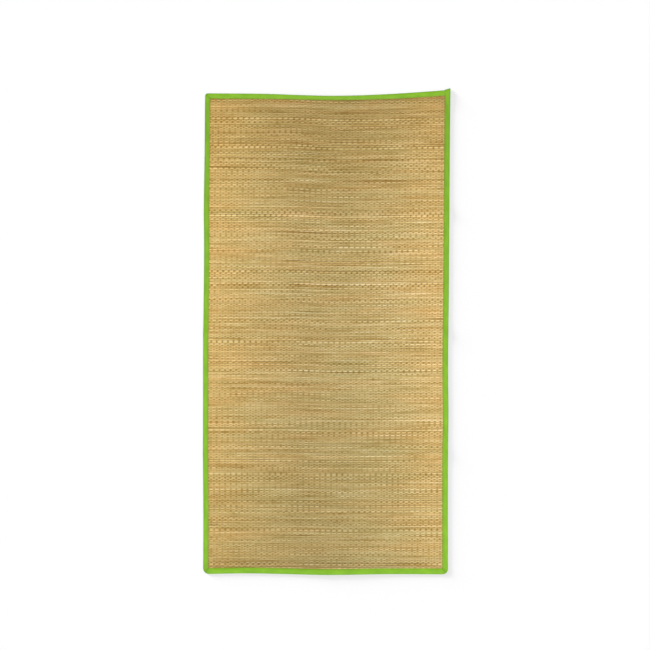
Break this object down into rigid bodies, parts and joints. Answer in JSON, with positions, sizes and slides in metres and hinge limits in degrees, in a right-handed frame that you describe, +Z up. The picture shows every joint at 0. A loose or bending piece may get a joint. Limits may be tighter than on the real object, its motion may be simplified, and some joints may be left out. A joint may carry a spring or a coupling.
{
  "type": "straw mat",
  "caption": "Flat woven straw beach mat, its straws held by thin strings, with a folded fabric tape sewn over every edge.",
  "frame": {"origin": "on the ground under the middle of the mat's outline", "axes": "+X across the mat, +Y along its length towards the end where the binding tape starts and ends, +Z up"},
  "size_m": [0.9143, 1.798, 0.0096],
  "materials": {
    "straw": "satin",
    "string": "matte",
    "tape": "matte",
    "thread": "matte"
  },
  "bodies": {
    "root": {"straw_panel": "straw", "edge_binding": "tape"}
  },
  "joints": []
}
